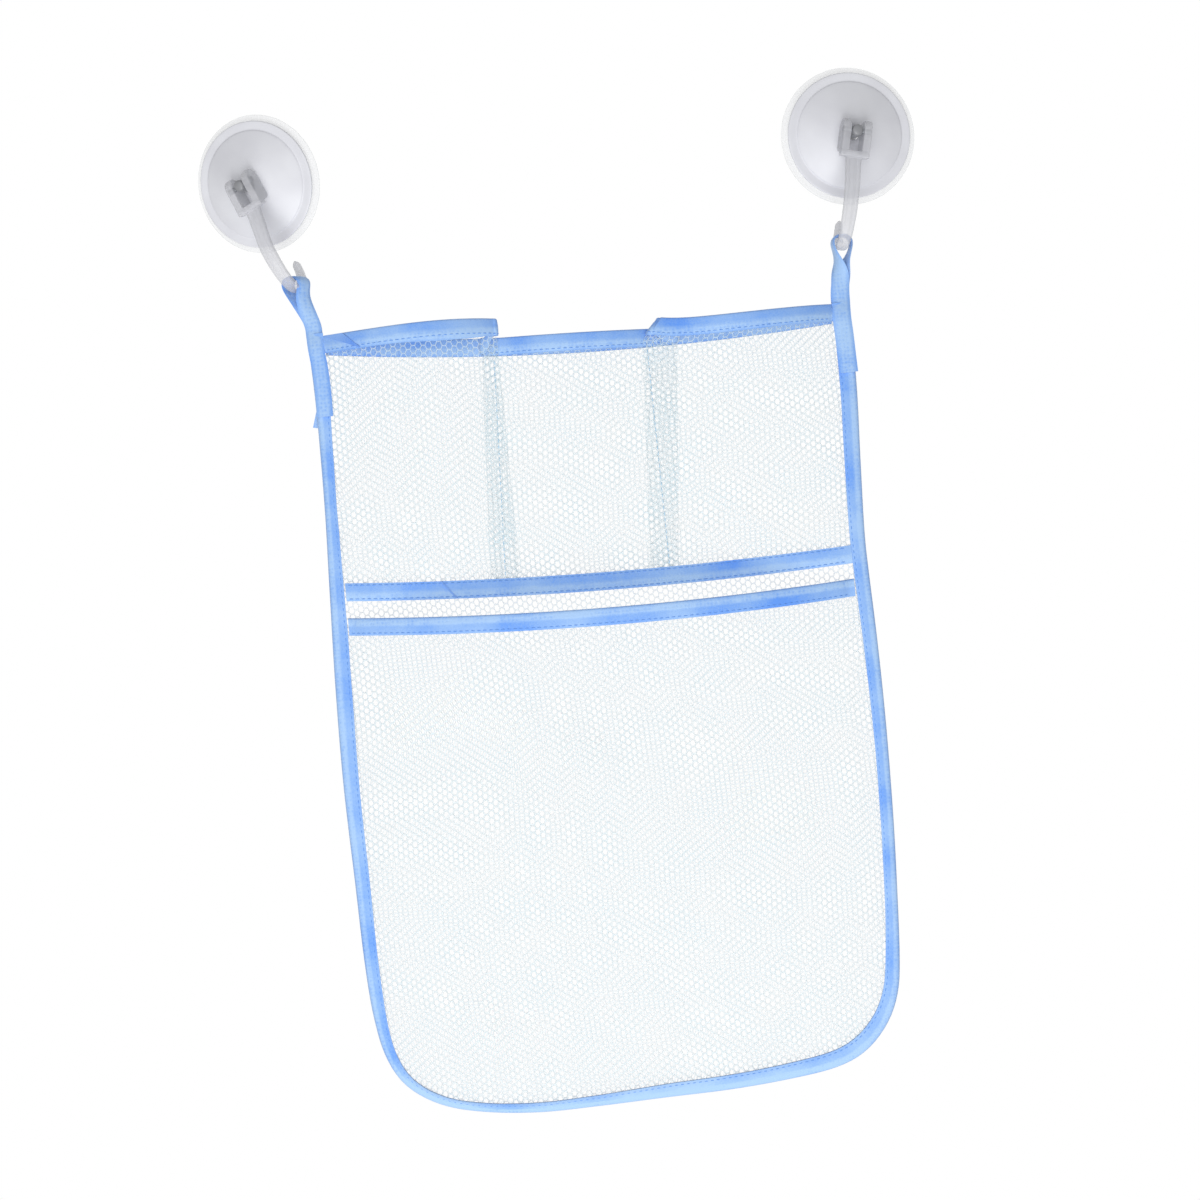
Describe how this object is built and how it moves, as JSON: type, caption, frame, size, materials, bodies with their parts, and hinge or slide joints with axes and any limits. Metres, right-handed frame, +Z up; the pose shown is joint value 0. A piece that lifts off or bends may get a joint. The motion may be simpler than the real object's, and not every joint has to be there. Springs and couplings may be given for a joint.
{
  "type": "hanging bath toy organizer",
  "caption": "Flat net bag with tape-bound edges, a large lower pocket and a row of small upper pockets, hung by tape loops from lever-locked suction hooks.",
  "frame": {"origin": "about midway between the seats of the two hooks, in the middle plane of the bag", "axes": "+Z up, +Y towards the wall, +X to the right as seen from the pockets"},
  "size_m": [0.3649, 0.0558, 0.5071],
  "materials": {
    "net": "matte hexagonal-hole net",
    "tape": "matte non-woven tape",
    "thread": "matte sewing thread",
    "clear_plastic": "clear glossy soft plastic",
    "white_plastic": "satin moulded plastic",
    "pin": "plain steel"
  },
  "bodies": {
    "bag": {"back_net": "net", "lower_pocket_net": "net", "upper_pocket_net": "net", "edge_binding": "tape", "back_top_binding": "tape", "upper_hem_tape": "tape", "pocket_base_tape": "tape", "lower_hem_tape": "tape", "edge_stitching": "thread", "upper_hem_stitching": "thread", "lower_hem_stitching": "thread", "base_upper_stitching": "thread", "base_lower_stitching": "thread", "left_divider_seam": "thread", "right_divider_seam": "thread", "left_loop_tail": "tape", "right_loop_tail": "tape"},
    "left_hanger": {"left_loop": "tape"},
    "left_hook": {"left_hook_lever": "white_plastic", "left_pivot_pin": "pin"},
    "left_sucker": {"left_suction_cup": "clear_plastic"},
    "left_cover": {"left_cap": "white_plastic"},
    "right_hanger": {"right_loop": "tape"},
    "right_hook": {"right_hook_lever": "white_plastic", "right_pivot_pin": "pin"},
    "right_sucker": {"right_suction_cup": "clear_plastic"},
    "right_cover": {"right_cap": "white_plastic"}
  },
  "joints": [
    {"name": "left_loop_swing", "type": "hinge", "parent": "bag", "child": "left_hanger", "pos_m": [-0.1315, 0, -0.02325], "axis": [1, 0, 0], "range_deg": [0, 60]},
    {"name": "left_hook_turn", "type": "hinge", "parent": "left_hanger", "child": "left_hook", "pos_m": [-0.1385, 0, 0.001], "axis": [-0.3939, 0, 0.9191], "range_deg": [-8, 24]},
    {"name": "left_lever_release", "type": "hinge", "parent": "left_hook", "child": "left_sucker", "pos_m": [-0.16149, -0.00228, 0.05207], "axis": [0.8397, -0.4067, 0.3599], "range_deg": [0, 90]},
    {"name": "left_cap_lift", "type": "slide", "parent": "left_sucker", "child": "left_cover", "axis": [-0.3738, -0.9135, -0.1602], "range_m": [0, 0.0015]},
    {"name": "right_loop_swing", "type": "hinge", "parent": "bag", "child": "right_hanger", "pos_m": [0.1315, 0, -0.02925], "axis": [1, 0, 0], "range_deg": [0, 60]},
    {"name": "right_hook_turn", "type": "hinge", "parent": "right_hanger", "child": "right_hook", "pos_m": [0.1345, 0, -0.001], "axis": [0.2079, 0, 0.9781], "range_deg": [-20, 14]},
    {"name": "right_lever_release", "type": "hinge", "parent": "right_hook", "child": "right_sucker", "pos_m": [0.1465, -0.00247, 0.0537], "axis": [0.9674, 0.1478, -0.2056], "range_deg": [0, 90]},
    {"name": "right_cap_lift", "type": "slide", "parent": "right_sucker", "child": "right_cover", "axis": [0.1446, -0.989, -0.0307], "range_m": [0, 0.0015]}
  ],
  "couplings": [
    {"joint": "left_cap_lift", "follows": "left_lever_release", "m_per_rad": 0.00095483},
    {"joint": "right_cap_lift", "follows": "right_lever_release", "m_per_rad": 0.00095483},
    {"joint": "right_loop_swing", "follows": "left_loop_swing", "ratio": 1}
  ]
}
